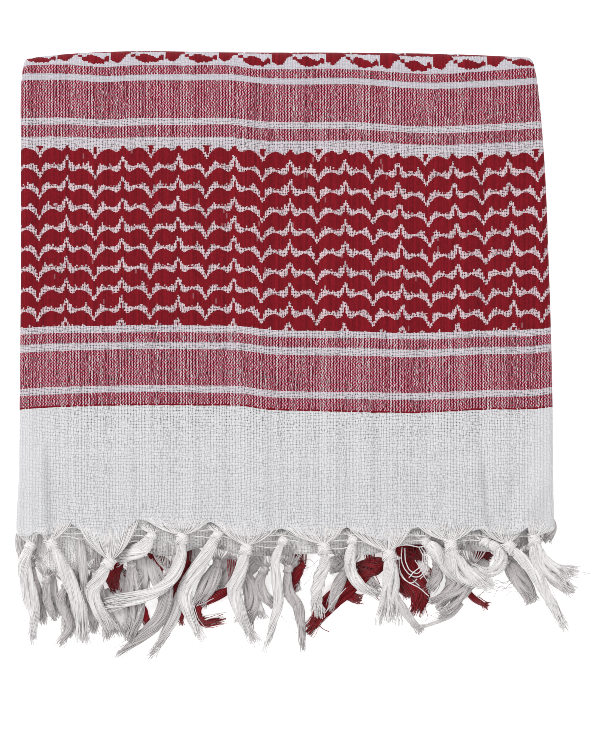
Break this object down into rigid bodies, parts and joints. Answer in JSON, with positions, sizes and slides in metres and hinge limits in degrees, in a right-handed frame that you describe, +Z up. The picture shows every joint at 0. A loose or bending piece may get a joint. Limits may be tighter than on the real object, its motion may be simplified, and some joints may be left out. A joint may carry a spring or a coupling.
{
  "type": "folded keffiyeh headscarf",
  "caption": "Woven cotton keffiyeh headscarf in red and white, folded flat into a square stack, with a scalloped figure, banded border and knotted tassel fringe.",
  "frame": {"origin": "middle of the flat underside of the folded cloth, on the table", "axes": "+X across the folded cloth, +Y from the fringe up to the top fold, +Z up out of the table"},
  "size_m": [0.2823, 0.3034, 0.0186],
  "materials": {
    "patterned_cloth": "open plain-weave cotton, red scallops and bands on off-white, matt",
    "white_cloth": "open plain-weave off-white cotton, matt",
    "white_fringe": "loose off-white cotton yarns, knotted, matt",
    "red_fringe": "loose red cotton yarns, knotted, matt"
  },
  "bodies": {
    "root": {"front_panel": "patterned_cloth", "top_fold": "patterned_cloth", "back_panel": "patterned_cloth", "second_hem": "white_cloth", "inner_layers": "patterned_cloth", "side_tassel_1": "red_fringe", "side_tassel_2": "red_fringe", "side_tassel_3": "red_fringe", "side_tassel_4": "red_fringe", "side_tassel_5": "red_fringe", "side_tassel_6": "red_fringe", "side_tassel_7": "red_fringe", "side_tassel_8": "red_fringe", "lower_tassel_01": "white_fringe", "lower_tassel_02": "white_fringe", "lower_tassel_03": "white_fringe", "lower_tassel_04": "white_fringe", "lower_tassel_05": "white_fringe", "lower_tassel_06": "white_fringe", "lower_tassel_07": "white_fringe", "lower_tassel_08": "white_fringe", "lower_tassel_09": "white_fringe", "lower_tassel_10": "white_fringe", "lower_tassel_11": "white_fringe", "lower_tassel_12": "white_fringe", "lower_tassel_13": "white_fringe", "lower_tassel_14": "white_fringe", "lower_tassel_15": "white_fringe", "small_tassel_1": "white_fringe", "small_tassel_2": "white_fringe", "small_tassel_3": "white_fringe", "small_tassel_4": "white_fringe", "small_tassel_5": "white_fringe", "small_tassel_6": "white_fringe", "small_tassel_7": "white_fringe", "front_tassel_1": "white_fringe", "front_tassel_2": "white_fringe", "front_tassel_3": "white_fringe", "front_tassel_4": "white_fringe", "front_tassel_5": "white_fringe", "front_tassel_6": "white_fringe", "front_tassel_7": "white_fringe", "front_tassel_8": "white_fringe", "front_tassel_9": "white_fringe"}
  },
  "joints": []
}
